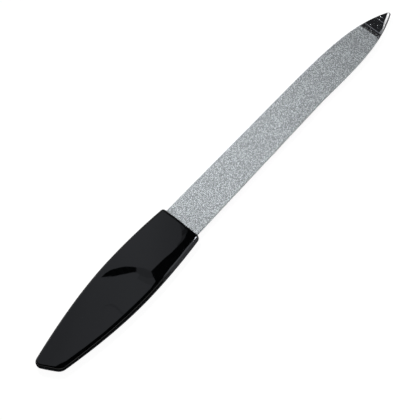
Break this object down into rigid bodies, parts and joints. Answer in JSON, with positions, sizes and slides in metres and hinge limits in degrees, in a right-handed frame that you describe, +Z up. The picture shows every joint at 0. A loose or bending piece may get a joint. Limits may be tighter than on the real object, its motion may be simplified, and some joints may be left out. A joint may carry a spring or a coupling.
{
  "type": "nail file",
  "caption": "Slim hand nail file: a pointed steel blade with sapphire grit on both faces, set in a glossy moulded handle with a slanted butt.",
  "frame": {"origin": "middle of the file's outline, on the surface that the handle's underside rests on", "axes": "+X along the file to the blade's point, +Y to the left edge of the blade seen from the handle with the coarse face up, +Z up, square to the blade's faces"},
  "size_m": [0.1522, 0.016, 0.0047],
  "materials": {
    "plated_steel": "nickel plated, polished on the bare point, with fine grinding lines across it",
    "coarse_grit": "coarse crushed sapphire bonded to the steel, matt grey with fine sparkle",
    "fine_grit": "fine crushed sapphire bonded to the steel, matt grey",
    "black_plastic": "high gloss moulded black"
  },
  "bodies": {
    "root": {"blade": "plated_steel", "coarse_grit_coat": "coarse_grit", "fine_grit_coat": "fine_grit", "handle": "black_plastic"}
  },
  "joints": []
}
